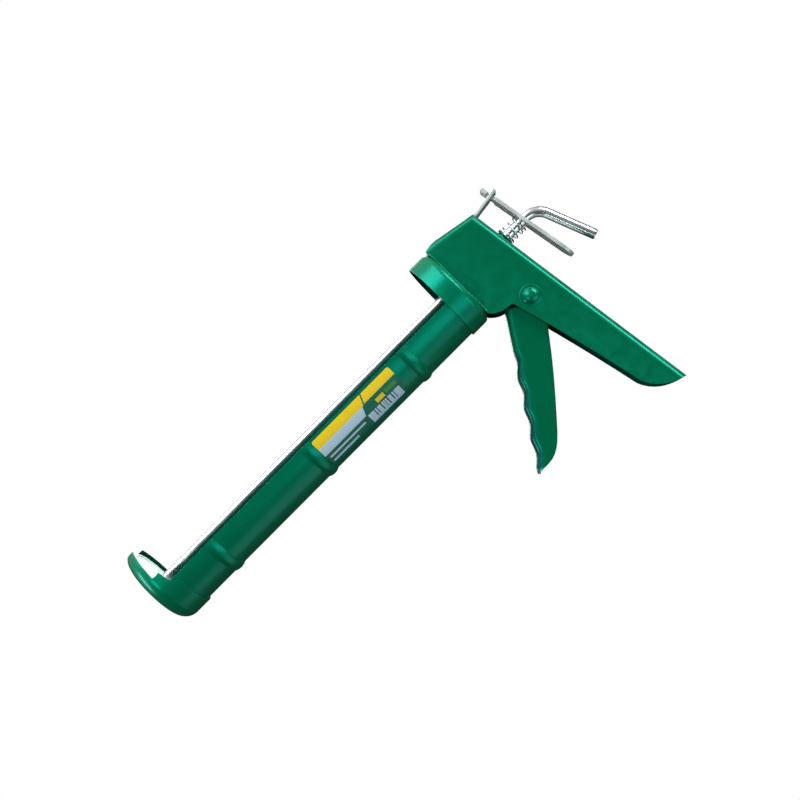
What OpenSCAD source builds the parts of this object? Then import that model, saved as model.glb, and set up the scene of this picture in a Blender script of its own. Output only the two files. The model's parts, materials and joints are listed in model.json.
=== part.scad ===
/* [Barrel] */
// Diameter of the cartridge that the barrel takes
cartridge_d = 50; // [40:0.5:60]
// Gap between the cartridge and the barrel all round
cartridge_gap = 0.5; // [0.2:0.1:1.5]
// Length of the cartridge space, from the front plate to the collar's floor
bay_len = 254.6; // [200:0.1:310]
// Sheet thickness of the barrel trough
trough_t = 0.9; // [0.6:0.1:1.5]
// Depth of the trough's edges below the barrel axis
rim_drop = 5.5; // [2:0.5:10]
// Number of pressed beads along the trough
bead_n = 3; // [1:1:4]
// Distance from bead to bead
bead_pitch = 79.5; // [40:0.5:90]
// Distance from the front plate to the first bead
bead_x = 46.5; // [35:0.5:60]
// Width of a bead
bead_w = 7.7; // [5:0.1:10]
// How far a bead stands out
bead_h = 1.1; // [0.5:0.1:1.5]

/* [Front cap] */
// Sheet thickness of the cap and the collar
cap_t = 1.2; // [0.8:0.1:2]
// Length of the cap along the barrel
cap_len = 19.5; // [16:0.5:30]
// Outer corner radius of the domed front
cap_r = 9; // [6:0.5:10]
// Width of the nozzle slot
nozzle_w = 21; // [16:0.5:26]
// Length of the two ears beside the slot
ear_len = 8.8; // [7:0.1:12]
// Flat height of the ears above the axis
ear_h = 23.7; // [18:0.1:26]

/* [Collar] */
// Length of the rear collar
collar_len = 14; // [10:0.5:25]
// Corner radius of the collar's floor
collar_r = 4; // [3:0.5:6]
// Diameter of the collar's rivets
collar_rivet_d = 3; // [2:0.5:3]

/* [Housing and handle] */
// Width of the folded housing and handle
house_w = 26; // [24:0.5:34]
// Sheet thickness of the housing
house_t = 1.3; // [1:0.1:2]
// Length of the housing at its crest
house_len = 39; // [36:0.5:60]
// Height of the housing's top above the axis
house_top = 27.2; // [22:0.1:32]
// Rake of the spine and the handle, in degrees
rake = 7.27; // [3:0.1:15]
// Depth of the handle's lower end below the axis
handle_drop = 134; // [110:1:160]
// Outside radius of the fold along the spine
fold_r = 5; // [3:0.5:6]

/* [Rod and pusher] */
// Diameter of the push rod
rod_d = 6.5; // [6:0.5:9]
// Radial running gap of the rod in its two bushes
rod_gap = 0.06; // [0.02:0.01:0.1]
// Diameter of the pusher disc
piston_d = 45; // [36:0.5:46]
// Thickness of the pusher disc
piston_t = 1.2; // [1:0.1:3]
// Bend radius of the hook, along its middle line
hook_bend_r = 12; // [10:0.5:16]
// Angle of the hook below the rod
hook_angle = 69.6; // [45:0.1:90]
// Straight length of the hook after its bend
hook_len = 31.5; // [25:0.5:45]

/* [Trigger] */
// Width of the trigger channel
trigger_w = 20; // [16:0.5:21]
// Sheet thickness of the trigger
trigger_t = 1.4; // [1:0.1:2]
// Depth of the trigger pivot below the barrel axis
pivot_drop = 36.5; // [34:0.1:42]
// Distance of the trigger pivot behind the housing's front
pivot_x = 25.2; // [22:0.1:30]
// Diameter of the pivot rivet
pivot_d = 6; // [5:0.5:7]
// Length of the trigger's pushing arms from pivot to nose
arm_len = 25; // [23:0.5:27]
// Trigger travel from rest to fully pulled, in degrees
trigger_travel = 34; // [20:1:36]
// Number of finger scallops
scallop_n = 4; // [3:1:5]
// Distance from scallop to scallop
scallop_pitch = 18.5; // [14:0.5:20]
// Depth of a scallop
scallop_h = 1.5; // [0.5:0.1:3]

/* [Drive and release] */
// Thickness of each drive plate
drive_t = 2.2; // [1.5:0.1:3]
// Width of the drive plates
drive_w = 21; // [18:0.5:22]
// Thickness of the release plate
release_t = 2.2; // [1.6:0.1:3]
// Width of the release plate
release_w = 16; // [14:0.5:20]
// Tilt of the release plate at rest, in degrees
release_tilt = 9.4; // [6:0.1:12]
// Length of the release plate below its hinge
release_len = 60.5; // [45:0.5:70]
// Length of the bracket behind the spine
bracket_out = 20; // [18:0.5:26]
// Thickness of the bracket
bracket_t = 1.8; // [1.5:0.1:3]

/* [Springs] */
// Wire of the main spring
main_wire = 1.2; // [0.8:0.1:1.6]
// Wire of the release spring
release_wire = 1; // [0.7:0.1:1.4]

/* [Hidden] */
$fn = 96;

seam = 0.03;      // gap between sheets that are welded or riveted together
touch = 0.3;      // gap between pieces that push on each other
green = [0, 0.42, 0.28];
plated = [0.72, 0.73, 0.74];
bright = [0.85, 0.86, 0.88];
big = 600;        // longer than the whole gun

// Barrel
trough_ri = cartridge_d / 2 + cartridge_gap;
trough_ro = trough_ri + trough_t;
trough_x0 = cap_r + 2;
cap_ri = trough_ro + seam;
cap_ro = cap_ri + cap_t;
bead_r = (bead_w * bead_w / 4 + bead_h * bead_h) / (2 * bead_h);
step_z = 2.3;     // height of the low shoulder between the ears and the trough

// Rear collar: its floor ends the cartridge space
floor_x0 = cap_t + bay_len;
floor_x1 = floor_x0 + cap_t;
trough_x1 = floor_x1 - collar_r - 0.1;

// Housing: front flanges lie on the collar's floor
house_x0 = floor_x1 + seam;
spine_top_x = house_x0 + house_len - 2.9;
spine_top_z = house_top - 4.4;
slope_x0 = house_x0 + 12;
slope = atan2(house_top - spine_top_z, spine_top_x - slope_x0);
function spine_x(z) = spine_top_x + (spine_top_z - z) * tan(rake);
wall_in = house_w / 2 - house_t;
grip_w = 21.2;    // front to back depth of the handle at its lower end
lip_z = -31.7;    // lowest point of the housing in front of the handle
lip_x = house_x0 + 14;

// Trigger pivot and arms
pivot = [house_x0 + pivot_x, -pivot_drop];
arm_lean = trigger_travel / 2;
nose_r = 4;
nose = [pivot.x + arm_len * sin(arm_lean), pivot.y + arm_len * cos(arm_lean)];
sleeve_ri = pivot_d / 2 + seam;
sleeve_ro = sleeve_ri + 1.4;

// Drive plates on the rod, in front of the trigger's arms
drive_x1 = nose.x - nose_r - touch;
drive_x0 = drive_x1 - 2 * drive_t - 0.05;
drive_low = nose.y - nose_r + 0.5;
drive_high = 12;

// Rod and its bushes
rod_r = rod_d / 2;
bush_ri = rod_r + rod_gap;
bush_ro = rod_r + 2.5;
stud_r = rod_r - 1;
nut_t = 2.4;
washer_t = 0.8;
disc_x0 = 5.6;
nut_x0 = disc_x0 - washer_t - nut_t - 0.2;
shoulder_x = disc_x0 + piston_t + 1.2 + 0.2;
front_bush_x1 = house_x0 + house_t + 0.8;
rear_bush_ro = rod_r + 1.75;
rear_flange_r = rear_bush_ro + 1;
rear_flange_x0 = spine_x(-rear_flange_r) + 0.3;
rear_flange_x1 = rear_flange_x0 + 1;

// Release plate: hinged where it passes through the bracket's slot
bracket_rise = 8;
bracket_in_x = slope_x0 + 4;
bracket_bend_x = spine_top_x - 2.6;
under_top = house_t / cos(slope) + 0.1;
function under_z(x) = house_top - (x - slope_x0) * tan(slope) - under_top;
bracket_end_x = spine_top_x + bracket_out;
function bracket_z(x) = under_z(bracket_bend_x) + (x - bracket_bend_x) * tan(bracket_rise);
hinge_x = spine_top_x + 15.4;
hinge = [hinge_x, bracket_z(hinge_x) - bracket_t / 2];
release_hole_r = rod_r + 0.85;
function release_mid_x(z) = hinge.x + (hinge.y - z) * tan(release_tilt);
release_face_x = release_mid_x(0) - release_t / 2 / cos(release_tilt);
hook_x0 = release_mid_x(0) + release_t / 2 / cos(release_tilt) + release_hole_r * tan(release_tilt) + 0.2;

// A curve of n steps that leaves a towards b and arrives at c
function curve(a, b, c, n = 8) = [
    for (i = [0:n]) let (t = i / n) (1 - t) * (1 - t) * a + 2 * t * (1 - t) * b + t * t * c
];

// An outline drawn in X and Z, spread across the width w
module side(w) {
    rotate([90, 0, 0]) translate([0, 0, -w / 2]) linear_extrude(w) children();
}

// A round bar along X
module bar(x0, x1, r) {
    translate([x0, 0, 0]) rotate([0, 90, 0]) cylinder(h = x1 - x0, r = r);
}

// A round hole or shaft across the gun at p = [x, z]
module cross(p, r, w) {
    translate([p.x, w / 2, p.y]) rotate([90, 0, 0]) cylinder(h = w, r = r);
}

// A ring around the X axis from an outline of [radius, x] points
module ring() {
    rotate([0, 90, 0]) rotate_extrude() children();
}

// ---------------------------------------------------------------- barrel

module cradle() {
    color(green) difference() {
        ring() difference() {
            union() {
                translate([trough_ri, trough_x0]) square([trough_t, trough_x1 - trough_x0]);
                for (i = [0:bead_n - 1])
                    translate([trough_ro + bead_h - bead_r, bead_x + i * bead_pitch]) circle(bead_r);
            }
            for (i = [0:bead_n - 1])
                translate([trough_ro + bead_h - bead_r, bead_x + i * bead_pitch]) circle(bead_r - trough_t);
            translate([-1, -1]) square([trough_ri + 1, floor_x0 + 2]);
        }
        translate([-1, -big / 2, -rim_drop]) cube(big);
    }
}

// Half section of a drawn cup with a flat floor at x = 0 and a rounded corner
module cup_section(r_out, len, corner, t) {
    difference() {
        union() {
            square([r_out - corner, t]);
            translate([r_out - t, corner]) square([t, len - corner]);
            translate([r_out - corner, corner]) circle(corner);
        }
        translate([r_out - corner, corner]) circle(corner - t);
        translate([0, t]) square([r_out - corner, len]);
        translate([r_out - 2 * corner - 1, corner]) square([2 * corner + 1 - t, len]);
    }
}

module front_cap() {
    color(green) difference() {
        ring() cup_section(cap_ro, cap_len, cap_r, cap_t);
        // nozzle slot, open at the top
        bar(-1, cap_t + 1, nozzle_w / 2);
        translate([-1, -nozzle_w / 2, 0]) cube([cap_len + 2, nozzle_w, cap_ro + 2]);
        // the upper half is cut back to two ears
        translate([-1, -cap_ro - 1, ear_h]) cube([cap_len + 2, 2 * cap_ro + 2, cap_ro]);
        side(2 * cap_ro + 2) polygon([
            [ear_len, cap_ro + 1], [ear_len, step_z + 1], [ear_len + 1, step_z], [cap_len - 5.5, step_z],
            [cap_len - 4, -rim_drop], [cap_len + 2, -rim_drop - 4], [cap_len + 2, cap_ro + 1]
        ]);
    }
}

// Rivets sit in the middle of the housing's two front flanges
flange_y0 = bush_ro + 0.5;
rivet_y = (wall_in + flange_y0) / 2;
rivet_z = 16;
tail_r = (wall_in - flange_y0) / 2 - 0.05;

module rivet_places() {
    for (y = [-rivet_y, rivet_y])
        for (z = [-rivet_z, rivet_z])
            translate([0, y, z]) children();
}

module rear_collar() {
    color(green) difference() {
        translate([floor_x1, 0, 0]) mirror([1, 0, 0])
            ring() cup_section(cap_ro, collar_len, collar_r, cap_t);
        bar(floor_x0 - 1, floor_x1 + 1, bush_ro + seam);
        rivet_places() bar(floor_x0 - 1, floor_x1 + 1, collar_rivet_d / 2 + seam);
    }
}

module collar_rivets() {
    head = 0.9;
    color(green) rivet_places() {
        bar(floor_x0 - seam - head, floor_x0 - seam, tail_r + 0.5);
        bar(floor_x0 - seam - 0.1, house_x0 + house_t + seam + 0.1, collar_rivet_d / 2);
        bar(house_x0 + house_t + seam, house_x0 + house_t + seam + head, tail_r);
    }
}

// ------------------------------------------------------ housing and handle

tip = [spine_x(-handle_drop), -handle_drop];
grip_top = [house_x0 + 15, lip_z - 2.2];
grip_low = [spine_x(-handle_drop + 17) - grip_w + 2, -handle_drop + 17];

// Side view of the housing and handle
module house_outline() {
    polygon(concat(
        [[house_x0, house_top - 1], [house_x0 + 5, house_top], [slope_x0, house_top],
         [spine_top_x, spine_top_z]],
        [tip],
        curve(tip, [grip_low.x + 5, tip.y + 4], grip_low, 8),
        curve(grip_low, [(grip_low.x + grip_top.x) / 2 + 1.4, (grip_low.y + grip_top.y) / 2], grip_top, 6),
        curve(grip_top, [lip_x + 0.6, lip_z], [lip_x - 2, lip_z], 3),
        curve([lip_x - 4, lip_z + 0.2], [house_x0 + 4, lip_z + 1], [house_x0, -25.8], 5)
    ));
}

// A long fold: flat walls w apart, closed by a rounded back at u = 0
module fold_section(w, r) {
    translate([-big, -w / 2]) square([big - r, w]);
    translate([-big, -w / 2 + r]) square([big, w - 2 * r]);
    for (y = [-w / 2 + r, w / 2 - r]) translate([-r, y]) circle(r);
}

// Everything in front of the raked spine and under the sloping top, inset by t
module folded_space(w, r, t) {
    intersection() {
        translate([spine_top_x, 0, spine_top_z]) rotate([0, -rake, 0])
            translate([-t, 0, -big / 2]) linear_extrude(big) fold_section(w, r);
        translate([slope_x0, 0, house_top]) rotate([0, slope, 0]) translate([-big / 2, 0, -t])
            rotate([90, 0, 90]) linear_extrude(big) rotate(90) fold_section(w, r);
    }
}

module handle_shell() {
    color(green) difference() {
        intersection() {
            side(house_w) house_outline();
            folded_space(house_w, fold_r, 0);
        }
        // inside of the fold
        intersection() {
            translate([house_x0 + house_t, -big / 2, -big / 2]) cube(big);
            translate([0, -big / 2, -big + house_top - house_t]) cube(big);
            folded_space(2 * wall_in, fold_r - house_t, house_t);
        }
        // gap between the two front flanges
        translate([house_x0 - 1, -flange_y0, -big + house_top - 6]) cube([house_t + 2, 2 * flange_y0, big]);
        // the front flanges end above the trigger
        translate([house_x0 - 1, -wall_in, -big - 20]) cube([house_t + 2, 2 * wall_in, big]);
        // rear bush, bracket slot, rivets and pivot
        bar(spine_x(0) - 6, spine_x(0) + 6, rear_bush_ro + seam);
        bracket_solid(seam);
        rivet_places() bar(house_x0 - 1, house_x0 + house_t + 1, collar_rivet_d / 2 + seam);
        cross(pivot, pivot_d / 2 + seam, house_w + 2);
    }
}

module front_bush() {
    color("gold") difference() {
        union() {
            bar(floor_x0 - 1.3, floor_x0 - seam, bush_ro + 2);
            bar(floor_x0 - 0.1, front_bush_x1, bush_ro);
        }
        bar(floor_x0 - 3, front_bush_x1 + 1, bush_ri);
    }
}

module rear_bush() {
    color(green) difference() {
        union() {
            bar(rear_flange_x0, rear_flange_x1, rear_flange_r);
            bar(spine_x(0) - 2.6, rear_flange_x0 + 0.1, rear_bush_ro);
        }
        bar(spine_x(0) - 4, rear_flange_x1 + 1, bush_ri);
    }
}

// Domed rivet head on the wall at y = y0, pointing outwards
module dome(y0, r, h) {
    ball = (r * r + h * h) / (2 * h);
    intersection() {
        translate([pivot.x, y0 + h - ball, pivot.y]) rotate([90, 0, 0])
            rotate_extrude() difference() {
                circle(ball);
                translate([-2 * ball, -2 * ball]) square([2 * ball, 4 * ball]);
            }
        cross(pivot, r, 4 * house_w);
        translate([pivot.x - r - 1, y0, pivot.y - r - 1]) cube(2 * r + 2);
    }
}

module pivot_rivet() {
    face = house_w / 2 + seam;
    head_r = pivot_d / 2 + 2.2;
    head_h = 2.4;
    color(green) {
        cross(pivot, pivot_d / 2, 2 * face + 0.1);
        dome(face, head_r, head_h);
        mirror([0, 1, 0]) dome(face, head_r, head_h);
    }
}

module pivot_sleeve() {
    color(plated) difference() {
        cross(pivot, sleeve_ro, 2 * wall_in - 0.06);
        cross(pivot, sleeve_ri, house_w);
    }
}

module pivot_washers() {
    t = wall_in - trigger_w / 2 - 0.16;
    color(plated) difference() {
        for (s = [-1, 1])
            translate([0, s * (trigger_w / 2 + 0.1 + t / 2), 0]) cross(pivot, 7.5, t);
        cross(pivot, sleeve_ro + seam, house_w);
    }
}

// Bracket strip: inside it follows the sloping top, outside it rises; grow is the gap all round
module bracket_solid(grow) {
    side(release_w - 2 + 2 * grow) polygon([
        [bracket_in_x, under_z(bracket_in_x)],
        [bracket_bend_x, bracket_z(bracket_bend_x) + grow],
        [bracket_end_x, bracket_z(bracket_end_x) + grow],
        [bracket_end_x, bracket_z(bracket_end_x) - bracket_t - grow],
        [bracket_bend_x, bracket_z(bracket_bend_x) - bracket_t - grow],
        [bracket_in_x, under_z(bracket_in_x) - bracket_t]
    ]);
}

module release_bracket() {
    neck = release_w / 2 + 0.8;
    color(plated) difference() {
        bracket_solid(0);
        translate([hinge.x - release_t / 2 - 0.9, -neck / 2, hinge.y - 10])
            cube([release_t + 1.8, neck, 20]);
    }
}

// Sticker on the near side of the trough
module label() {
    color("gold") intersection() {
        difference() {
            bar(bead_x + bead_pitch + 4, bead_x + bead_pitch + 67, trough_ro + seam + 0.2);
            bar(bead_x, floor_x0, trough_ro + seam);
        }
        translate([0, -big, -24.6]) cube([big, big, 17.9]);
    }
}

// --------------------------------------------------------- rod and pusher

module push_rod() {
    lap = 0.4;
    color(bright) {
        bar(nut_x0 - 0.3, shoulder_x + 0.1, stud_r);
        bar(shoulder_x, hook_x0, rod_r);
        // the bend is a hair thinner and reaches a little into both straight stretches
        translate([hook_x0, 0, -hook_bend_r]) rotate([90, 0, 0]) rotate([0, 0, 90 - hook_angle]) {
            rotate([0, 0, -lap]) rotate_extrude(angle = hook_angle + 2 * lap)
                translate([hook_bend_r, 0]) circle(rod_r - seam / 2);
            translate([hook_bend_r, 0, 0]) rotate([90, 0, 0]) cylinder(h = hook_len, r = rod_r);
        }
    }
}

module rod_nut() {
    color(plated) difference() {
        translate([nut_x0, 0, 0]) rotate([0, 90, 0]) cylinder(h = nut_t, r = stud_r + 2.8, $fn = 6);
        bar(nut_x0 - 1, nut_x0 + nut_t + 1, stud_r + 0.02);
    }
}

module lock_washer() {
    color(plated) difference() {
        bar(nut_x0 + nut_t + 0.05, nut_x0 + nut_t + 0.05 + washer_t, stud_r + 2.2);
        bar(nut_x0, disc_x0, stud_r + 0.1);
        translate([nut_x0, -0.5, 0]) cube([disc_x0, 1, 10]);
    }
}

module piston_disc() {
    rim = 1.8;
    color(plated) difference() {
        translate([disc_x0, 0, 0]) ring() difference() {
            union() {
                square([piston_d / 2 - rim, piston_t]);
                translate([piston_d / 2 - rim, rim]) circle(rim);
            }
            translate([piston_d / 2 - rim, rim]) circle(rim - piston_t);
            translate([0, piston_t]) square([piston_d / 2 - rim, 2 * rim]);
            translate([0, rim]) square([piston_d, 2 * rim]);
        }
        bar(disc_x0 - 1, disc_x0 + 4, stud_r + rod_gap);
    }
}

module piston_backing() {
    color(plated) difference() {
        bar(disc_x0 + piston_t + 0.03, shoulder_x - 0.06, 13);
        bar(disc_x0, shoulder_x + 1, stud_r + rod_gap);
    }
}

// ---------------------------------------------------------------- trigger

grip_angle = 33.2;    // lean of the trigger's front from the vertical, at rest
grip_dir = [-sin(grip_angle), -cos(grip_angle)];
grip_out = [-cos(grip_angle), sin(grip_angle)];
grip_start = [pivot.x - 33, pivot.y - 20.9];
grip_len = scallop_n * scallop_pitch - 6.5;

// A point s down the trigger's front line and t behind it
function grip_at(s, t) = grip_start + grip_dir * s - grip_out * t;

// Front edge with finger scallops, from the first hollow down to the tip
function grip_point(s) = grip_at(s, -scallop_h * (1 - cos(360 * s / scallop_pitch)) / 2);

module trigger_outline() {
    tip = grip_at(grip_len, -1.2);
    heel = grip_at(0.74 * grip_len, 13.8);
    waist = grip_at(0, 20.9);
    polygon(concat(
        [[pivot.x - 15.5, pivot.y + 8.5], grip_at(-30, -0.7), grip_at(-7, -0.7)],
        [for (i = [0:scallop_n * 8]) grip_point((grip_len - 0.6) * i / scallop_n / 8)],
        curve(tip, grip_at(0.92 * grip_len, 11.5), heel, 8),
        curve(heel, grip_at(0.355 * grip_len, 18.6), waist, 4),
        curve([pivot.x - 8, pivot.y - 22.9], [pivot.x, pivot.y - 12], [pivot.x + 7.5, pivot.y - 4], 4),
        [[pivot.x + 8.4, pivot.y + 3], [pivot.x + 2, pivot.y + 9]]
    ));
}

module trigger_arms() {
    translate(pivot) circle(8.5);
    translate(nose) circle(nose_r);
    translate(pivot) rotate(-arm_lean)
        polygon([[-5, 0], [-nose_r / 2, arm_len], [nose_r, arm_len], [8, 0]]);
}

module trigger() {
    web = -trigger_t * grip_out;
    color(green) difference() {
        union() {
            for (s = [-1, 1]) translate([0, s * (trigger_w - trigger_t) / 2, 0])
                side(trigger_t) union() {
                    trigger_outline();
                    trigger_arms();
                }
            side(trigger_w - trigger_t) difference() {
                trigger_outline();
                translate(web) trigger_outline();
                translate([pivot.x - 16, pivot.y - 22]) square(60);
            }
        }
        cross(pivot, sleeve_ro + rod_gap, trigger_w + 2);
    }
}

// ------------------------------------------------------- drive and release

module drive_plate(x0) {
    color(plated) difference() {
        translate([x0, -drive_w / 2, drive_low]) cube([drive_t, drive_w, drive_high - drive_low]);
        bar(x0 - 1, x0 + drive_t + 1, rod_r + 0.1);
    }
}

module drive_plate_front() {
    drive_plate(drive_x0);
}

module drive_plate_rear() {
    drive_plate(drive_x1 - drive_t);
}

// Coil of round wire around the rod, as a stack of linked rings
module coil(x0, x1, r_mid, wire, turns) {
    step = (x1 - x0 - wire) / turns;
    for (i = [0:turns])
        translate([x0 + wire / 2 + i * step, 0, 0])
            ring() translate([r_mid, 0]) circle(wire / 2, $fn = 24);
    for (i = [0:turns - 1])
        translate([0, 0, (i % 2 == 0 ? 1 : -1) * r_mid])
            bar(x0 + wire / 2 + i * step, x0 + wire / 2 + (i + 1) * step, wire / 2 - 0.05, $fn = 24);
}

module main_spring() {
    color(plated) coil(front_bush_x1 + 0.1, drive_x0 - 0.1, rod_r + 3.4, main_wire, 5);
}

module release_spring() {
    color(plated) coil(rear_flange_x1 + 0.1, release_face_x - 5.5 * tan(release_tilt) - 0.3, rod_r + 2, release_wire, 3);
}

// Outline of the release plate in its own plane: y across, v up from the hinge
module release_outline() {
    neck = release_w / 2;
    translate([0, -release_len + release_w / 2]) circle(release_w / 2);
    translate([-release_w / 2, -release_len + release_w / 2])
        square([release_w, release_len - release_w / 2 - 3.2]);
    translate([-neck / 2, -4]) square([neck, 9]);
    translate([-release_w / 2 + 1, 2.6]) square([release_w - 2, 4.2]);
}

module release_plate() {
    color(plated) difference() {
        translate([hinge.x, 0, hinge.y]) rotate([0, -release_tilt, 0])
            rotate([90, 0, 90]) translate([0, 0, -release_t / 2]) linear_extrude(release_t) release_outline();
        bar(release_mid_x(0) - 8, release_mid_x(0) + 8, release_hole_r);
    }
}

cradle();
front_cap();
rear_collar();
collar_rivets();
handle_shell();
front_bush();
rear_bush();
pivot_rivet();
pivot_sleeve();
pivot_washers();
release_bracket();
label();
push_rod();
rod_nut();
lock_washer();
piston_disc();
piston_backing();
trigger();
drive_plate_front();
drive_plate_rear();
main_spring();
release_plate();
release_spring();
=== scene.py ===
# %% [markdown]
# # A caulking gun, piece by piece
# A caulking gun holds a tube of sealant in a steel half-barrel. Squeezing the
# trigger walks a smooth rod forward, and the rod's disc pushes the sealant out.
# This lesson dresses a working CAD model of such a gun: first the tools of the
# trade, then the finishes, then each piece, and at last the light and camera.
#
# The CAD model comes in as a fixed frame. Its pieces are never moved, so every
# new piece takes its place from the frame's own boxes and joints.

# %% Load the frame
import json
import math

import bmesh
import bpy
from mathutils import Matrix, Vector


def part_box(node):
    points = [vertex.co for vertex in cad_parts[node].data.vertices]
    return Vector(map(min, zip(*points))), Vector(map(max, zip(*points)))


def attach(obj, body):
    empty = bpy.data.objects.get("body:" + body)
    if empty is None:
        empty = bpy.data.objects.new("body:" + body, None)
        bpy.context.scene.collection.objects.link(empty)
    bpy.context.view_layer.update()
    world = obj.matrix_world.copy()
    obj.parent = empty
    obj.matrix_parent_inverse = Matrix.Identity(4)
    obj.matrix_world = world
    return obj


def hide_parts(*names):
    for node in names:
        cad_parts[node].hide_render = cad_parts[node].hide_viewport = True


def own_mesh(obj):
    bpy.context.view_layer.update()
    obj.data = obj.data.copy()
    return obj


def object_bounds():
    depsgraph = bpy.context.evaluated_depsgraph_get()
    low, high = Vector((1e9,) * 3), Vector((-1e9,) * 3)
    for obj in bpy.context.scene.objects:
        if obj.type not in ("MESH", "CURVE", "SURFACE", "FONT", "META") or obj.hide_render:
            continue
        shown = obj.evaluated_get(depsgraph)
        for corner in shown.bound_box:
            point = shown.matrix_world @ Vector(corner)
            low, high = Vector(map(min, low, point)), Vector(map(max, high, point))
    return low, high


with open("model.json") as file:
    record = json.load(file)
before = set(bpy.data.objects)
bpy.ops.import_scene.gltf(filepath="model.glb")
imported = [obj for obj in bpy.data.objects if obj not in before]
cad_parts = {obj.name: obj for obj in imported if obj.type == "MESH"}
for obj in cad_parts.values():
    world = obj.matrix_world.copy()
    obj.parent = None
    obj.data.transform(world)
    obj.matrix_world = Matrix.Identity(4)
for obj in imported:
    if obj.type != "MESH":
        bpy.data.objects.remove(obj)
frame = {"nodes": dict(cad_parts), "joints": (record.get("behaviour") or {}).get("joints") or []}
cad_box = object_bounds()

MM = 0.001
TAU = math.tau
joints = {joint["name"]: joint for joint in frame["joints"]}
print("CAD pieces:", len(frame["nodes"]), "joints:", sorted(joints))

# %% [markdown]
# ## Helpers for meshes
# Every finished piece needs the same few things: its material, the body it
# rides on and the CAD nodes it stands for. One helper does that and prints the
# piece's size, so a wrong size shows at once. The others link a mesh, smooth
# it and turn modifiers into mesh, which an export needs.

# %% Link a mesh as a piece of the gun
def finish_piece(obj, body, slot, material, *nodes):
    """Give a new object its material, its body and the CAD nodes it stands for."""
    if obj.name not in bpy.context.scene.collection.objects:
        bpy.context.scene.collection.objects.link(obj)
    obj.data.materials.clear()
    obj.data.materials.append(material)
    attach(obj, body)
    if nodes:
        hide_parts(*nodes)
    size = [round(d / MM, 1) for d in obj.dimensions]
    print(f"{obj.name}: {len(obj.data.vertices)} points, {size} mm, rides on {body}")
    return obj


def mesh_object(name, verts, faces):
    mesh = bpy.data.meshes.new(name)
    mesh.from_pydata([tuple(v) for v in verts], [], faces)
    mesh.validate()
    obj = bpy.data.objects.new(name, mesh)
    bpy.context.scene.collection.objects.link(obj)
    return obj


def smooth(obj, angle=35):
    """Smooth shading that stays crisp at edges sharper than the angle."""
    for face in obj.data.polygons:
        face.use_smooth = True
    obj.data.set_sharp_from_angle(angle=math.radians(angle))


def apply_modifiers(obj):
    """Turn an object's modifiers into real mesh."""
    depsgraph = bpy.context.evaluated_depsgraph_get()
    mesh = bpy.data.meshes.new_from_object(obj.evaluated_get(depsgraph))
    obj.modifiers.clear()
    obj.data = mesh


def flatten_normals(obj):
    """Let large flat faces decide the shading, so a rounded edge doesn't shade the wall beside it."""
    weighted = obj.modifiers.new("flat walls", "WEIGHTED_NORMAL")
    weighted.weight = 50
    weighted.keep_sharp = True
    apply_modifiers(obj)


# %% [markdown]
# ## Soft edges on sheet steel
# Most pieces of this gun are sheet steel. Real sheet never has a razor edge:
# the press rounds it, and paint gathers there. A bevel modifier on a copy of
# the CAD mesh gives that soft edge without moving any face. First the copy is
# welded and its flat triangles are dissolved, because a bevel only follows
# clean edges.

# %% Copy a CAD piece and round its edges
def softened(node, name, width=0.3, segments=2, corner=28):
    """A copy of a CAD node, its edges rounded by width in mm where they turn by more than corner degrees."""
    mesh = frame["nodes"][node].data.copy()
    mesh.name = name
    if mesh.has_custom_normals:
        mesh.normals_split_custom_set([(0, 0, 0)] * len(mesh.loops))
    obj = bpy.data.objects.new(name, mesh)
    bpy.context.scene.collection.objects.link(obj)
    work = bmesh.new()
    work.from_mesh(mesh)
    bmesh.ops.remove_doubles(work, verts=work.verts, dist=2e-6)
    bmesh.ops.dissolve_limit(work, angle_limit=math.radians(0.6), verts=work.verts, edges=work.edges)
    work.to_mesh(mesh)
    work.free()
    bevel = obj.modifiers.new("soft edges", "BEVEL")
    bevel.width = width * MM
    bevel.segments = segments
    bevel.limit_method = "ANGLE"
    bevel.angle_limit = math.radians(corner)
    bevel.use_clamp_overlap = True
    apply_modifiers(obj)
    smooth(obj, 40)
    flatten_normals(obj)
    return obj


# %% [markdown]
# ## Bars, coils and turned shapes
# Wire and bar are sweeps: a circle carried along a path. The circle keeps its
# own sense of up as it travels, so the tube doesn't twist in a bend. A turned
# piece, such as a rivet, is a profile spun around an axis.

# %% Sweep a circle along a path
def sweep(name, path, radii, sides=24):
    """A closed tube along path, in metres. radii is one radius or one for each point."""
    points = [Vector(p) for p in path]
    if not hasattr(radii, "__len__"):
        radii = [radii] * len(points)
    tangents = []
    for i in range(len(points)):
        a, b = points[max(i - 1, 0)], points[min(i + 1, len(points) - 1)]
        tangents.append((b - a).normalized())
    up = Vector((0, 1, 0)) if abs(tangents[0].y) < 0.9 else Vector((0, 0, 1))
    verts, faces = [], []
    for point, tangent, radius in zip(points, tangents, radii):
        up = (up - tangent * up.dot(tangent)).normalized()
        side = tangent.cross(up)
        for k in range(sides):
            turn = TAU * k / sides
            verts.append(point + (up * math.cos(turn) + side * math.sin(turn)) * radius)
    for i in range(len(points) - 1):
        for k in range(sides):
            a, b = i * sides + k, i * sides + (k + 1) % sides
            faces.append((a, b, b + sides, a + sides))
    faces.append(tuple(range(sides))[::-1])
    faces.append(tuple(len(verts) - sides + k for k in range(sides)))
    return mesh_object(name, verts, faces)


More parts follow.
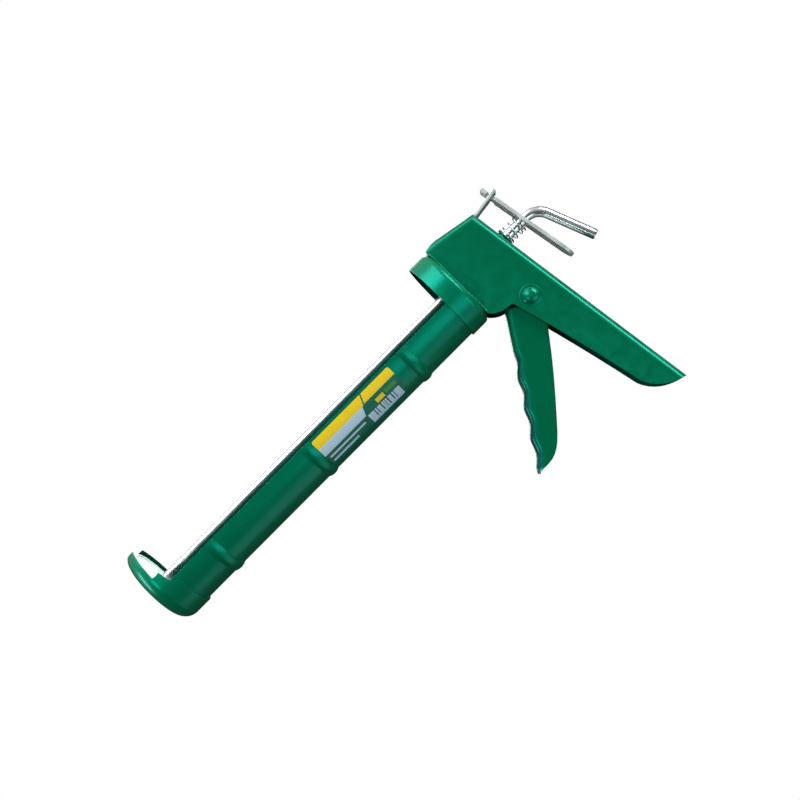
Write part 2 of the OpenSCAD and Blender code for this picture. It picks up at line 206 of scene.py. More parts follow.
def turned(name, profile, centre, axis, sides=64):
    """Spin a profile of (distance along axis, radius) points in millimetres around an axis."""
    axis = Vector(axis).normalized()
    up = Vector((0, 0, 1)) if abs(axis.z) < 0.9 else Vector((1, 0, 0))
    side = axis.cross(up).normalized()
    up = side.cross(axis)
    verts, faces = [], []
    for along, radius in profile:
        for k in range(sides):
            turn = TAU * k / sides
            out = side * math.cos(turn) + up * math.sin(turn)
            verts.append(Vector(centre) + axis * along * MM + out * radius * MM)
    for i in range(len(profile) - 1):
        for k in range(sides):
            a, b = i * sides + k, i * sides + (k + 1) % sides
            faces.append((a, b, b + sides, a + sides))
    faces.append(tuple(range(sides))[::-1])
    faces.append(tuple(len(verts) - sides + k for k in range(sides)))
    return mesh_object(name, verts, faces)


def coil_path(x0, x1, radius, turns, closed=0.75, steps=40):
    """Centre line of a compression spring along X, in metres, with closed end turns."""
    total = turns + 2 * closed
    end_share = 0.08  # of the spring's length, taken up by each closed end
    points = []
    count = int(total * steps)
    for i in range(count + 1):
        t = i / count * total
        if t < closed:
            x = end_share * t / closed
        elif t > total - closed:
            x = 1 - end_share * (total - t) / closed
        else:
            x = end_share + (1 - 2 * end_share) * (t - closed) / turns
        points.append((x0 + (x1 - x0) * x, radius * math.sin(TAU * t), radius * math.cos(TAU * t)))
    return points


# %% [markdown]
# ## Helpers for materials
# Each finish is a small tree of nodes on one Principled shader. Object
# coordinates are metres in the gun's own frame, so a noise scale of 600 means
# grains of about 1.7 mm, whichever piece it lands on.

# %% Build a node material
class Finish:
    """A material with a Principled shader and short calls for the nodes that feed it."""

    def __init__(self, name, **sockets):
        self.material = bpy.data.materials.new(name)
        self.material.use_nodes = True
        self.nodes = self.material.node_tree.nodes
        self.links = self.material.node_tree.links
        self.shader = self.nodes["Principled BSDF"]
        for socket, value in sockets.items():
            self.shader.inputs[socket.replace("_", " ")].default_value = value
        self.place = self.nodes.new("ShaderNodeTexCoord").outputs["Object"]

    def stretch(self, scale):
        node = self.nodes.new("ShaderNodeMapping")
        node.inputs["Scale"].default_value = scale
        self.links.new(self.place, node.inputs["Vector"])
        return node.outputs["Vector"]

    def grain(self, scale, detail=3, rough=0.5, stretch=None):
        node = self.nodes.new("ShaderNodeTexNoise")
        node.inputs["Scale"].default_value = scale
        node.inputs["Detail"].default_value = detail
        node.inputs["Roughness"].default_value = rough
        self.links.new(self.stretch(stretch) if stretch else self.place, node.inputs["Vector"])
        return node.outputs["Fac"]

    def ramp(self, value, stops):
        """Map a value through (position, colour) stops."""
        node = self.nodes.new("ShaderNodeValToRGB")
        elements = node.color_ramp.elements
        while len(elements) < len(stops):
            elements.new(0.5)
        for element, (position, colour) in zip(elements, stops):
            element.position = position
            element.color = (*colour, 1) if len(colour) == 3 else colour
        self.links.new(value, node.inputs["Fac"])
        return node.outputs["Color"]

    def span(self, value, low, high, from_low=0.0, from_high=1.0):
        """Map a value that runs from from_low to from_high onto low to high."""
        node = self.nodes.new("ShaderNodeMapRange")
        limits = {"From Min": from_low, "From Max": from_high, "To Min": low, "To Max": high}
        for socket, number in limits.items():
            node.inputs[socket].default_value = number
        self.links.new(value, node.inputs["Value"])
        return node.outputs["Result"]

    def math(self, operation, a, b):
        node = self.nodes.new("ShaderNodeMath")
        node.operation = operation
        for socket, value in zip(node.inputs, (a, b)):
            if isinstance(value, (int, float)):
                socket.default_value = value
            else:
                self.links.new(value, socket)
        return node.outputs["Value"]

    def mix(self, factor, a, b):
        """Colour a where factor is 0, colour b where it is 1."""
        node = self.nodes.new("ShaderNodeMix")
        node.data_type = "RGBA"
        for socket, value in ((node.inputs[0], factor), (node.inputs[6], a), (node.inputs[7], b)):
            if isinstance(value, tuple):
                socket.default_value = (*value, 1)
            elif isinstance(value, (int, float)):
                socket.default_value = value
            else:
                self.links.new(value, socket)
        return node.outputs[2]

    def feed(self, socket, output):
        self.links.new(output, self.shader.inputs[socket])

    def bump(self, height, strength, distance, after=None):
        node = self.nodes.new("ShaderNodeBump")
        node.inputs["Strength"].default_value = strength
        node.inputs["Distance"].default_value = distance
        self.links.new(height, node.inputs["Height"])
        if after is not None:
            self.links.new(after, node.inputs["Normal"])
        return node.outputs["Normal"]


# %% [markdown]
# ## Stoved green enamel
# The barrel, housing and trigger are sprayed with green enamel and baked. Up
# close such paint has a faint orange-peel ripple and pools a little darker in
# hollows. On convex edges it turns a lighter, bluish green: partly wear where
# hands polish, partly a painted highlight.
# The Geometry node's pointiness finds those edges. The gloss takes the
# pigment's own colour: a clear coat on top would lay a grey veil over the
# paint, while a tinted reflection keeps it deep. The barrel is painted a
# lighter green and the housing a darker one, as painted light and painted
# shade on one paint. Faces that look inwards take a darker colour still: a
# painted shade for the inside of the sheet.

# %% Green enamel
def green_enamel(name, deep, light):
    paint = Finish(name, Specular_IOR_Level=0.8, Specular_Tint=(0.02, 1.0, 0.80, 1.0))
    cloud = paint.grain(28, detail=2)
    pigment = paint.ramp(cloud, [(0.3, deep), (0.7, light)])
    geometry = paint.nodes.new("ShaderNodeNewGeometry")
    edge = paint.span(geometry.outputs["Pointiness"], 0, 1, 0.52, 0.60)
    edge_wear_and_sheen_mask = paint.math("MULTIPLY", edge, paint.span(paint.grain(150, detail=3), 0.3, 1, 0.40, 0.60))
    # Convex edges turn a lighter, bluish green: partly wear, partly a painted highlight.
    edge_wear_and_sheen = paint.mix(paint.math("MULTIPLY", edge_wear_and_sheen_mask, 0.30), pigment, (0.01, 0.34, 0.24))
    specks = paint.span(paint.grain(2600, detail=1), 0, 1, 0.70, 0.78)
    outside = paint.mix(paint.math("MULTIPLY", specks, 0.35), edge_wear_and_sheen, (0.0, 0.07, 0.035))
    # Faces that look inwards take a dark green: a painted shade for the inside of the sheet, broken up by
    # noise.
    inner_shade_stops = [(0.35, (0.0, 0.020, 0.012)), (0.7, (0.002, 0.040, 0.026))]
    painted_inner_shade = paint.ramp(paint.grain(180, detail=4), inner_shade_stops)
    paint.feed("Base Color", paint.mix(facing_in(paint, geometry.outputs["Normal"]), outside, painted_inner_shade))
    paint.feed("Roughness", paint.span(paint.grain(60, detail=2), 0.27, 0.33))
    ripple = paint.bump(paint.grain(420, detail=1), 0.012, 0.00020)
    paint.feed("Normal", paint.bump(paint.grain(40, detail=1), 0.010, 0.0010, ripple))
    return paint.material


# Mask for the painted inner shade.
def facing_in(paint, normal):
    """1 on the inside of the sheet, where a face looks at the barrel's axis or at the middle plane."""
    place, face = paint.nodes.new("ShaderNodeSeparateXYZ"), paint.nodes.new("ShaderNodeSeparateXYZ")
    paint.links.new(paint.place, place.inputs[0])
    paint.links.new(normal, face.inputs[0])
    sideways = paint.math("MULTIPLY", place.outputs["Y"], face.outputs["Y"])
    upright = paint.math("MULTIPLY", place.outputs["Z"], face.outputs["Z"])
    barrel = paint.math("LESS_THAN", place.outputs["X"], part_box("cradle")[1].x)
    toward = paint.math("ADD", sideways, paint.math("MULTIPLY", upright, barrel))
    return paint.math("LESS_THAN", toward, -0.002)


# Two copies of one green: the barrel's lighter one is painted light, the housing's darker one painted shade.
barrel_enamel_with_painted_light = green_enamel("barrel_enamel_with_painted_light", (0.0, 0.096, 0.043), (0.0, 0.104, 0.047))
enamel = green_enamel("housing_enamel_with_painted_shade", (0.0, 0.064, 0.023), (0.0, 0.068, 0.025))
print("finishes:", barrel_enamel_with_painted_light.name, enamel.name)

# %% [markdown]
# ## Plated steel, bright rod and spring wire
# The release plate, its bracket and the drive plates are punched from strip
# and zinc plated: a cool grey metal with soft cloudy stains and fine rolling
# lines. The rod is drawn and chromed, so its lines run along its length. The
# springs are darker hardened wire.

# %% Metals
def plated_steel():
    metal = Finish("plated_steel", Metallic=0.5)
    stain = metal.grain(70, detail=5, rough=0.6)
    metal.feed("Base Color", metal.ramp(stain, [(0.3, (0.37, 0.37, 0.37)), (0.65, (0.50, 0.50, 0.495))]))
    lines = metal.grain(500, detail=2, stretch=(1, 1, 0.06))
    metal.feed("Roughness", metal.span(metal.math("ADD", stain, lines), 0.34, 0.52, 0.6, 1.4))
    metal.feed("Normal", metal.bump(lines, 0.04, 0.00010))
    return metal.material


def zinc_flake():
    metal = Finish("zinc_flake", Metallic=0.1)
    spangle = metal.grain(220, detail=3)
    metal.feed("Base Color", metal.ramp(spangle, [(0.35, (0.90, 0.90, 0.91)), (0.65, (0.97, 0.97, 0.97))]))
    metal.feed("Roughness", metal.span(spangle, 0.42, 0.58))
    metal.feed("Normal", metal.bump(spangle, 0.02, 0.00010))
    return metal.material


def bright_rod():
    metal = Finish("bright_rod", Metallic=1.0)
    draw = metal.grain(420, detail=2, stretch=(0.02, 1, 1))
    metal.feed("Base Color", metal.ramp(draw, [(0.3, (0.60, 0.60, 0.62)), (0.7, (0.74, 0.74, 0.75))]))
    smudge = metal.grain(60, detail=4)
    metal.feed("Roughness", metal.span(smudge, 0.20, 0.28, 0.3, 0.7))
    return metal.material


def spring_wire():
    metal = Finish("spring_wire", Metallic=1.0)
    stain = metal.grain(400, detail=3)
    metal.feed("Base Color", metal.ramp(stain, [(0.3, (0.46, 0.46, 0.47)), (0.7, (0.66, 0.66, 0.67))]))
    metal.feed("Roughness", metal.span(stain, 0.25, 0.42))
    metal.feed("Normal", metal.bump(metal.grain(3000, detail=2), 0.08, 0.00005))
    return metal.material


plated, zinc, chrome, wire = plated_steel(), zinc_flake(), bright_rod(), spring_wire()
print("finishes:", plated.name, zinc.name, chrome.name, wire.name)

# %% [markdown]
# ## Sheet-metal pieces
# The trough, cap, collar and folded housing keep their CAD shape and only need
# their edges rounded. The housing is thicker sheet than the trough, so its
# edges take a larger radius.

# %% Trough, cap, collar and housing
barrel_sheets = (
    ("cradle", "trough", 0.28),
    ("front_cap", "nozzle_cap", 0.42),
    ("rear_collar", "barrel_collar", 0.36),
    ("handle_shell", "folded_housing", 0.48),
    ("rear_bush", "spine_bush", 0.4),
)
for node, name, width in barrel_sheets:
    # The barrel's pieces take the lighter green, a painted light; the rest take the darker green, a painted
    # shade.
    paint = barrel_enamel_with_painted_light if node in ("cradle", "front_cap", "rear_collar") else enamel
    finish_piece(softened(node, name, width), "frame", "green_enamel", paint, node)

# %% [markdown]
# ## Rivets
# The trigger turns on a domed rivet, and four small ones hold the collar to
# the housing. They could be turned again from a profile, but a CAD dome is
# round already, so it keeps its shape and only gets enamel and smooth shading.

# %% Rivets in the housing's enamel
for node in ("pivot_rivet", "collar_rivets"):
    rivet = frame["nodes"][node]
    rivet.data.materials.clear()
    rivet.data.materials.append(enamel)
    smooth(rivet)
    print(node, "keeps its CAD shape")

# %% [markdown]
# ## Plates and washers of plated steel
# These are punched flat, which leaves one edge rolled over and one crisp. A
# narrow bevel reads as the rolled edge.

# %% Plated pieces
plated_pieces = (
    ("release_bracket", "slotted_bracket", "frame", 0.3),
    ("front_bush", "rod_guide", "frame", 0.25),
    ("pivot_sleeve", "pivot_spacer", "frame", 0.15),
    ("pivot_washers", "side_washers", "frame", 0.2),
    ("rod_nut", "nose_nut", "rod", 0.3),
    ("lock_washer", "split_washer", "rod", 0.15),
    ("drive_plate_front", "grip_plate_front", "drive", 0.3),
    ("drive_plate_rear", "grip_plate_rear", "drive", 0.3),
    ("release_plate", "thumb_plate", "release", 0.45),
)
for node, name, body, width in plated_pieces:
    finish_piece(softened(node, name, width), body, "plated_steel", plated, node)
for node, name, width in (("piston_disc", "pusher_disc", 0.3), ("piston_backing", "pusher_backing", 0.25)):
    finish_piece(softened(node, name, width), "pusher", "plated_steel", zinc, node)

# %% [markdown]
# ## Push rod
# One length of round bar: a threaded stud at the nose, a long straight run,
# a bend and a short hook to pull it back by. A sweep with a radius for each
# point can cut the thread's ridges and the chamfer on the sawn end.

# %% Push rod
def push_rod():
    low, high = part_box("push_rod")
    radius = high.y
    stud = radius - 1 * MM
    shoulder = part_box("piston_backing")[1].x
    bend, tilt, straight = 12 * MM, math.radians(69.6), 31.5 * MM
    start = high.x - bend * math.sin(tilt) - straight * math.cos(tilt) - radius * math.sin(tilt)
    path, radii = [], []

    def add(x, z, r):
        path.append((x, 0, z))
        radii.append(r)

    tip, root, ridge = stud * 0.8, stud * 0.9, 1.0 * MM
    add(low.x, 0, tip)
    half_ridges = int((shoulder - low.x) / ridge * 2)
    for i in range(1, half_ridges):
        add(low.x + i * ridge / 2, 0, stud if i % 2 else root)
    add(shoulder - 0.02 * MM, 0, stud)
    add(shoulder, 0, radius * 0.93)
    add(shoulder + 0.35 * MM, 0, radius)
    run_steps, bend_steps = 13, 24
    for i in range(1, run_steps):
        add(shoulder + (start - shoulder) * i / run_steps, 0, radius)
    for i in range(bend_steps + 1):
        turn = tilt * i / bend_steps
        add(start + bend * math.sin(turn), -bend * (1 - math.cos(turn)), radius)
    end_x, end_z = start + bend * math.sin(tilt), -bend * (1 - math.cos(tilt))
    chamfer = 0.7 * MM
    for along, r in ((0.5, radius), (1 - chamfer / straight, radius), (1, radius - chamfer)):
        add(end_x + straight * along * math.cos(tilt), end_z - straight * along * math.sin(tilt), r)
    return sweep("push_bar", path, radii, 40)


rod = push_rod()
smooth(rod, 30)
finish_piece(rod, "rod", "bright_rod", chrome, "push_rod")

# %% [markdown]
# ## Springs
# Both springs are compression springs with closed ends. A spring that the CAD
# model draws as rings becomes a true helix here.

# %% Springs
def coil_spring(name, node, thickness, turns):
    low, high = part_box(node)
    radius = high.y - thickness * MM / 2
    x0, x1 = low.x + thickness * MM / 2, high.x - thickness * MM / 2
    spring = sweep(name, coil_path(x0, x1, radius, turns), thickness * MM / 2, 12)
    smooth(spring, 60)
    finish_piece(spring, "frame", "spring_steel", wire, node)
    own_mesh(spring)
    return spring


coil_spring("return_coil", "main_spring", 1.2, 4.5)
coil_spring("release_coil", "release_spring", 1.0, 2.2)

# %% [markdown]
# ## Trigger
# The trigger is one strip folded into a channel: a rounded web in front, where
# four fingers lie in shallow scallops, and two cheeks that reach back. It could
# be a box with bevels, but a bent web has a roll of several millimetres that
# only a loft shows. Each station along the grip is one U: from the rear edge of
# one cheek, round the web, to the rear edge of the other.

# %% Trigger sizes, from its pivot
pivot = Vector(joints["trigger_pull"]["pos_m"])
grip_angle = math.radians(33.2)
grip_down = Vector((-math.sin(grip_angle), 0, -math.cos(grip_angle)))
grip_back = Vector((math.cos(grip_angle), 0, -math.sin(grip_angle)))
grip_start = pivot + Vector((-33, 0, -20.9)) * MM
half_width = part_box("trigger")[1].y / MM
web_roll, strip_t = 4.6, 1.4
scallop_pitch, scallop_depth, grip_run = 18.5, 1.5, 67.5


def front_edge(s):
    """How far the front stands back of the grip line, s millimetres down the grip."""
    if s < 0:
        f = min(1, -s / 8)
        return -0.7 * f * f * (3 - 2 * f)
    return -scallop_depth * (1 - math.cos(TAU * s / scallop_pitch)) / 2


def rear_edge(s):
    """How far the open side stands back of the grip line."""
    knots = ((-31, 23.3), (-12, 22.0), (1, 20.9), (12, 19.7), (24, 18.1), (36, 16.3),
             (46, 14.7), (52, 13.3), (55.6, 12.0), (58.5, 10.4), (61, 8.4), (63, 6.1),
             (65, 3.0), (66.5, 0.6), (67.6, -1.0))
    for (s0, t0), (s1, t1) in zip(knots, knots[1:]):
        if s <= s1:
            return t0 + (t1 - t0) * (s - s0) / (s1 - s0)
    return knots[-1][1]


print("trigger:", round(math.degrees(grip_angle), 1), "degrees of lean,", grip_run, "mm of grip")

# %% [markdown]
# The loft itself: each station is half a U, mirrored. Before solidify adds the
# strip's thickness, the faces are turned so that the front looks forwards,
# because the thickness goes to the side the faces look away from. A small
# bevel then rounds the cut edges.

# %% Trigger channel
def trigger_channel():
    rows, top, reach = 132, -31, grip_run + 31.2  # it begins 31 mm up the grip line
    stations = [top + i * reach / rows for i in range(rows + 1)]
    roll_steps, cheek_steps, web_steps = 8, 7, 6
    verts, faces = [], []
    for s in stations:
        front, rear = front_edge(s), rear_edge(s)
        depth = max(rear - front, 0.6)  # the toe runs out to a narrow lip
        roll = min(web_roll, depth * 0.9)
        half = []
        for i in range(cheek_steps):
            half.append((front + depth + (roll - depth) * i / cheek_steps, half_width))
        for i in range(roll_steps):
            turn = math.pi / 2 * i / roll_steps
            half.append((front + roll * (1 - math.sin(turn)), half_width - roll * (1 - math.cos(turn))))
        web = half_width - roll
        line = [(t, -y) for t, y in half]
        line += [(front, -web + 2 * web * i / web_steps) for i in range(web_steps + 1)]
        line += [(t, y) for t, y in reversed(half)]
        centre = grip_start + grip_down * s * MM
        verts += [centre + grip_back * t * MM + Vector((0, y * MM, 0)) for t, y in line]
    row = len(verts) // len(stations)
    for i in range(len(stations) - 1):
        for k in range(row - 1):
            a = i * row + k
            faces.append((a, a + row, a + row + 1, a + 1))
    obj = mesh_object("trigger_channel", verts, faces)
    work = bmesh.new()
    work.from_mesh(obj.data)
    bmesh.ops.recalc_face_normals(work, faces=work.faces)
    front_face = min(work.faces, key=lambda f: f.calc_center_median().x)
    if front_face.normal.x > 0:
        bmesh.ops.reverse_faces(work, faces=work.faces)
    work.to_mesh(obj.data)
    work.free()
    solid = obj.modifiers.new("strip", "SOLIDIFY")
    solid.thickness = strip_t * MM
    solid.offset = -1
    solid.use_even_offset = True
    edge = obj.modifiers.new("edge", "BEVEL")
    edge.width = 0.35 * MM
    edge.segments = 2
    edge.limit_method = "ANGLE"
    edge.angle_limit = math.radians(50)
    apply_modifiers(obj)
    smooth(obj, 50)
    return obj


finish_piece(trigger_channel(), "trigger", "green_enamel", enamel, "trigger")

# %% [markdown]
# The cheeks carry on above the pivot as two arms, whose round noses push the
# drive plates. They work inside the housing, where little of them is seen, so
# two flat plates with a crisp edge are enough.

# %% Trigger arms
def arm_outline():
    """The arm's edge in its own frame: across and along, in millimetres from the pivot."""
    eye_r, nose_r, nose_up = 8.5, 4, 25
    eye_steps, nose_steps = 24, 16
    points = []
    for i in range(eye_steps + 1):
        turn = math.radians(30.5 - 271.8 * i / eye_steps)
        points.append((eye_r * math.cos(turn), eye_r * math.sin(turn)))
    for i in range(nose_steps + 1):
        turn = math.radians(-127 - 233 * i / nose_steps)
        points.append((nose_r * math.cos(turn), nose_up + nose_r * math.sin(turn)))
    return points


def trigger_arm(name, side):
    lean = math.radians(17)
    across = Vector((math.cos(lean), 0, -math.sin(lean)))
    along = Vector((math.sin(lean), 0, math.cos(lean)))
    outline = [pivot + (across * u + along * v) * MM for u, v in arm_outline()]
    outer = Vector((0, side * (half_width - 0.02) * MM, 0))
    inner = Vector((0, side * (half_width - strip_t + 0.02) * MM, 0))
    count = len(outline)
    verts = [p + outer for p in outline] + [p + inner for p in outline]
    faces = [tuple(range(count)), tuple(range(2 * count - 1, count - 1, -1))]
    faces += [(i, i + count, (i + 1) % count + count, (i + 1) % count) for i in range(count)]
    arm = mesh_object(name, verts, faces)
    work = bmesh.new()
    work.from_mesh(arm.data)
    bmesh.ops.recalc_face_normals(work, faces=work.faces)
    work.to_mesh(arm.data)
    work.free()
    smooth(arm)
    return finish_piece(arm, "trigger", "green_enamel", enamel)


for name, side in (("trigger_arm_left", -1), ("trigger_arm_right", 1)):
    trigger_arm(name, side)

# %% [markdown]
# ## Pressed ring around the pivot
# Where the pivot rivet goes through, the housing is pressed out into a shallow
# ring, which stiffens the thin wall. It is a turned bead that sinks into the
# wall at both of its edges.

# %% Pivot rings
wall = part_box("handle_shell")[1].y / MM
for name, side in (("pivot_ring_left", -1), ("pivot_ring_right", 1)):
    height, inner, width, steps = 0.14, 5.6, 1.3, 10
    bead = [(-0.3, 5.5)]
    bead += [(height * math.sin(math.pi * i / steps), inner + width * i / steps) for i in range(steps + 1)]
    bead += [(-0.3, 7.0)]
    centre = (pivot.x, side * wall * MM, pivot.z)
    ring = turned(name, bead, centre, (0, side, 0), 72)
    smooth(ring, 60)
    finish_piece(ring, "frame", "green_enamel", enamel)

# %% [markdown]
# ## Hem along the housing's front
# The front edges of the housing are folded back on themselves, so the hand
# never meets a raw edge. The fold stands a little proud of the wall and draws
# one bright line beside the collar.

# %% Front hems
def front_hem(name, side):
    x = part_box("rear_collar")[1].x + 0.6 * MM
    y = side * (wall - 0.2) * MM
    run = [-23.5 + i * 4 for i in range(12)]
    heights = [-26.0, -25.4, -24.6] + run + [23.2, 24.3]
    radii = [0.12, 0.4, 0.52] + [0.55] * len(run) + [0.4, 0.12]
    hem = sweep(name, [(x, y, z * MM) for z in heights], [r * MM for r in radii], 16)
    smooth(hem, 60)
    return finish_piece(hem, "frame", "green_enamel", enamel)


for name, side in (("front_hem_left", -1), ("front_hem_right", 1)):
    front_hem(name, side)

# %% [markdown]
# ## Sticker
# The barrel carries a paper sticker. It is printed, so here the one sheet is
# coloured by place: bands along the barrel and blocks within them. Comparing
# the object coordinates with each block's edges gives crisp print without any
# image file. The layout here is plain blocks and stripes.

# %% Sticker finish
def sticker_finish():
    low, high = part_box("label")
    paper = Finish("sticker", Specular_IOR_Level=0.25)
    axes = paper.nodes.new("ShaderNodeSeparateXYZ")
    paper.links.new(paper.place, axes.inputs[0])
    length, height = high.x - low.x, high.z - low.z
    across = paper.span(axes.outputs["X"], 0, 1, low.x, high.x)
    up = paper.span(axes.outputs["Z"], 0, 1, low.z, high.z)
    slant = paper.math("ADD", across, paper.math("MULTIPLY", up, -0.13))

    def inside(value, a, b):
        return paper.math("MULTIPLY", paper.math("GREATER_THAN", value, a), paper.math("LESS_THAN", value, b))

    def block(x, a, b, c, d):
        return paper.math("MULTIPLY", inside(x, a, b), inside(up, c, d))

    colour = (0.0, 0.098, 0.058)
    yellow, white = (0.78, 0.47, 0.003), (0.46, 0.51, 0.63)
    dark, leaf = (0.006, 0.03, 0.035), (0.04, 0.20, 0.04)
    layers = (
        (block(slant, -0.2, 0.505, 0.64, 0.97), yellow),
        (block(slant, 0.52, 1.2, 0.66, 0.97), yellow),
        (block(slant, -0.2, 0.49, 0.35, 0.64), white),
        (block(across, 0.03, 0.49, 0.20, 0.255), white),
        (block(across, 0.03, 0.36, 0.06, 0.115), white),
        (block(across, 0.70, 0.80, 0.38, 0.52), yellow),
        (block(across, 0.82, 0.96, 0.40, 0.54), leaf),
        (block(across, 0.55, 0.95, 0.04, 0.32), white),
    )
    for mask, ink in layers:
        colour = paper.mix(mask, colour, ink)

    def bars(count, share):
        """Stripes across the sticker, of which a share of each step is inked."""
        step = paper.math("FRACT", paper.math("MULTIPLY", across, count), 0.0)
        return paper.math("LESS_THAN", step, share)

    uneven = paper.math("MULTIPLY", bars(37.0, 0.5), bars(23.0, 0.55))
    stripes = paper.math("MULTIPLY", uneven, block(across, 0.58, 0.92, 0.10, 0.32))
    colour = paper.mix(stripes, colour, dark)
    fade = paper.span(paper.grain(260, detail=4), 0.0, 0.03, 0.45, 0.75)
    paper.feed("Base Color", paper.mix(fade, colour, (0.55, 0.56, 0.5)))
    paper.feed("Roughness", paper.span(paper.grain(300, detail=3), 0.28, 0.48))
    paper.feed("Normal", paper.bump(paper.grain(500, detail=2), 0.06, 0.0002))
    print("sticker:", round(length / MM), "x", round(height / MM), "mm")
    return paper.material


# %% [markdown]
# The sheet is a thin curved grid that wraps the barrel's near side. Real
# stickers have rounded corners, because a sharp one lifts first. Rows of the
# grid near a corner are pulled in to its arc, and solidify gives the paper its
# thickness.

# %% Sticker sheet
def sticker_sheet():
    """A thin curved sheet with rounded corners, wrapped on the trough's side."""
    low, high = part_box("label")
    outer = max(math.hypot(v.co.y, v.co.z) for v in frame["nodes"]["label"].data.vertices)
    a0, a1 = math.asin(low.z / outer), math.asin(high.z / outer)
    nx, na, corner = 60, 22, 2.0 * MM
    verts, faces = [], []
    for i in range(nx + 1):
        for k in range(na + 1):
            x = low.x + (high.x - low.x) * i / nx
            angle = a0 + (a1 - a0) * k / na
            arc = (angle - a0) * outer, (a1 - angle) * outer
            near_end = min(x - low.x, high.x - x)
            near_side = min(arc)
            if near_end < corner and near_side < corner:
                gap = Vector((corner - near_end, corner - near_side))
                if gap.length > corner:
                    pull = gap * (1 - corner / gap.length)
                    x += pull.x if x < (low.x + high.x) / 2 else -pull.x
                    angle += (pull.y if arc[0] < arc[1] else -pull.y) / outer
            verts.append((x, -outer * math.cos(angle), outer * math.sin(angle)))
    for i in range(nx):
        for k in range(na):
            a = i * (na + 1) + k
            faces.append((a, a + 1, a + na + 2, a + na + 1))
    sheet = mesh_object("sticker_sheet", verts, faces)
    work = bmesh.new()
    work.from_mesh(sheet.data)
    bmesh.ops.recalc_face_normals(work, faces=work.faces)
    if sum(f.normal.y for f in work.faces) > 0:
        bmesh.ops.reverse_faces(work, faces=work.faces)
    work.to_mesh(sheet.data)
    work.free()
    solid = sheet.modifiers.new("paper", "SOLIDIFY")
    solid.thickness = 0.15 * MM
    solid.offset = -1
    apply_modifiers(sheet)
    smooth(sheet)
    return sheet


finish_piece(sticker_sheet(), "frame", "sticker", sticker_finish(), "label")

# %% [markdown]
# ## Camera
# The gun hangs in the view at a slant: nozzle low on the left, hook high on
# the right. That is a roll of the camera and not of the gun. So the camera
# stands in front of the near side, a little below the barrel, and its own up
# leans half way between the gun's up and its rear.

# %% Camera
def studio_camera():
    data = bpy.data.cameras.new("studio_camera")
    data.sensor_width = 36
    data.lens = 70.3
    data.clip_start, data.clip_end = 0.05, 50
    camera = bpy.data.objects.new("studio_camera", data)
    bpy.context.scene.collection.objects.link(camera)
    stand = Vector((188.5, -930, -104)) * MM
    aim = Vector((184.3, 0, -24.1)) * MM
    look = (aim - stand).normalized()
    up = Vector((1, 0, 1)).normalized()
    right = look.cross(up).normalized()
    up = right.cross(look)
    camera.matrix_world = Matrix.Translation(stand) @ Matrix((right, up, -look)).transposed().to_4x4()
    bpy.context.scene.camera = camera
    return camera


camera = studio_camera()
print("camera at", [round(v / MM) for v in camera.location], "mm")

# %% [markdown]
# ## Floor
# The floor is plain and pale. It could lie right under the gun, but then the
# underside of the barrel mirrors it and loses its deep green. So it lies well
# below, where it only adds a little light.

# %% Floor
middle = (0.17, 0, -0.03)


def pale_floor():
    radius, height, sides = 0.6, cad_box[0][2] - 1.5, 96
    turns = [TAU * k / sides for k in range(sides)]
    verts = [(middle[0] + radius * math.cos(turn), radius * math.sin(turn), height) for turn in turns]
    floor = mesh_object("pale_floor", verts, [tuple(range(sides))])
    surface = Finish("pale_floor", Roughness=0.9)
    shades = [(0, (0.80, 0.80, 0.80)), (1, (0.86, 0.86, 0.86))]
    surface.feed("Base Color", surface.ramp(surface.grain(3), shades))
    floor.data.materials.append(surface.material)
    return floor


floor = pale_floor()
print("floor:", round(floor.dimensions.x, 2), "m across")

# %% [markdown]
# ## Soft lights
# Large lights close by give the enamel long, soft reflections that show its
# bends. The key light stands in front and above. The tail and nose lights draw
# the lines along the spine and the cap's ear, and the low light lifts the
# underside of the barrel.

# %% Soft lights
def soft_light(name, place, size, power, tint):
    data = bpy.data.lights.new(name, "AREA")
    data.shape = "RECTANGLE"
    data.size, data.size_y = size
    data.energy = power
    data.color = tint
    light = bpy.data.objects.new(name, data)
    light.location = place
    light.rotation_euler = (Vector(middle) - Vector(place)).to_track_quat("-Z", "Y").to_euler()
    bpy.context.scene.collection.objects.link(light)


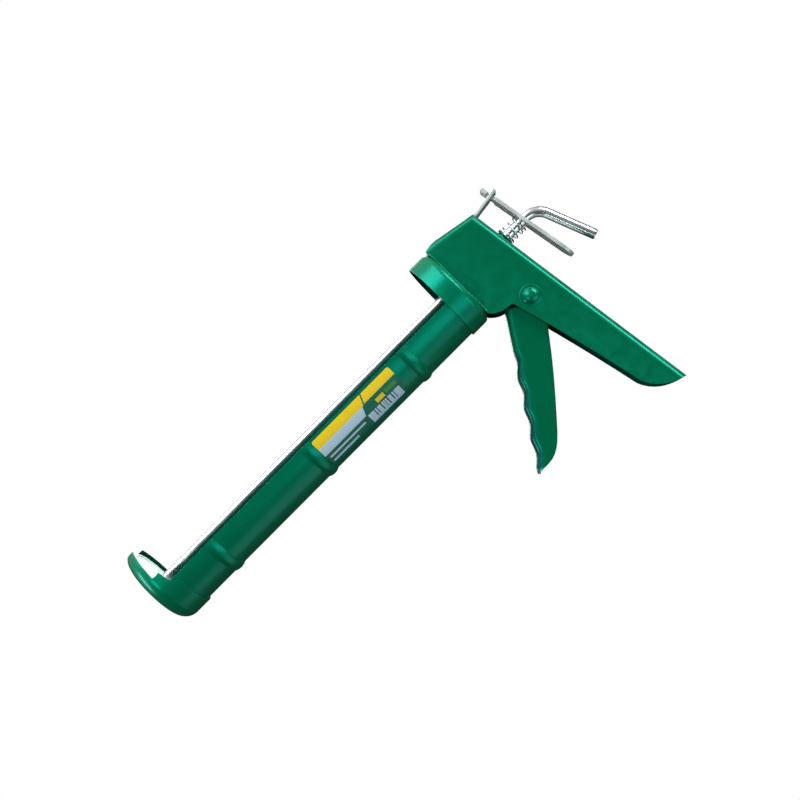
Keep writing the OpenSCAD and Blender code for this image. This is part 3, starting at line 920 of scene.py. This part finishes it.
plain, cool, cold = (1, 1, 1), (0.75, 1, 0.95), (0.7, 1, 1)
lights = (
    ("key_light", (0.15, -0.85, 0.85), (0.6, 0.6), 9, plain),
    ("side_light", (-0.40, -0.95, 0.05), (0.16, 0.5), 3, cool),
    ("nose_light", (-0.9, -0.15, 0.3), (0.22, 0.6), 5, plain),
    ("low_light", (0.55, -0.6, -0.75), (1.0, 0.5), 4.5, cold),
    ("tail_light", (1.2, -0.40, 0.2), (0.30, 0.8), 12, cool),
    ("top_light", (0.2, -0.45, 1.1), (1.2, 0.35), 7, plain),
    ("back_light", (0.2, 1.2, 0.5), (0.9, 0.6), 9, plain),
)
for name, place, size, power, tint in lights:
    soft_light(name, place, size, power, tint)
print("lights:", len(lights), "with", sum(row[3] for row in lights), "W")

# %% [markdown]
# ## Graded room
# Chrome shows nothing but its surroundings. So the room is graded: white
# overhead, dim at eye level and nearly black below. That gives a round rod one
# white band over one dark band, which is how the eye reads polished bar. Rays
# that reach the camera straight from the room see plain white instead.

# %% Room that the metal reflects
def graded_room():
    world = bpy.data.worlds.new("studio")
    bpy.context.scene.world = world
    world.use_nodes = True
    nodes, links = world.node_tree.nodes, world.node_tree.links
    room, paper = nodes["Background"], nodes.new("ShaderNodeBackground")
    coords, toward = nodes.new("ShaderNodeTexCoord"), nodes.new("ShaderNodeVectorMath")
    height, shade = nodes.new("ShaderNodeMapRange"), nodes.new("ShaderNodeValToRGB")
    toward.operation = "DOT_PRODUCT"
    toward.inputs[1].default_value = (0, -0.2, 0.9)
    links.new(coords.outputs["Generated"], toward.inputs[0])
    links.new(toward.outputs["Value"], height.inputs["Value"])
    height.inputs["From Min"].default_value = -1
    links.new(height.outputs["Result"], shade.inputs["Fac"])
    elements = shade.color_ramp.elements
    stops = ((0.44, 0.03), (0.60, 0.12), (0.75, 0.45), (1.0, 1.0))
    while len(elements) < len(stops):
        elements.new(0.5)
    for element, (place, level) in zip(elements, stops):
        element.position = place
        element.color = (level, level, level, 1)
    links.new(shade.outputs["Color"], room.inputs["Color"])
    choose, rays = nodes.new("ShaderNodeMixShader"), nodes.new("ShaderNodeLightPath")
    links.new(rays.outputs["Is Camera Ray"], choose.inputs["Fac"])
    links.new(room.outputs[0], choose.inputs[1])
    paper.inputs["Color"].default_value = (1, 1, 1, 1)
    links.new(paper.outputs[0], choose.inputs[2])
    links.new(choose.outputs[0], nodes["World Output"].inputs["Surface"])


graded_room()
bpy.context.scene.view_settings.view_transform = "Standard"
print("room:", bpy.context.scene.world.name)

# %% [markdown]
# The CAD model's box is printed last, in millimetres. The dressed gun has to
# stay inside the box of the CAD model.

# %% Print the CAD box
print("CAD box", [[round(v / MM, 1) for v in c] for c in cad_box])
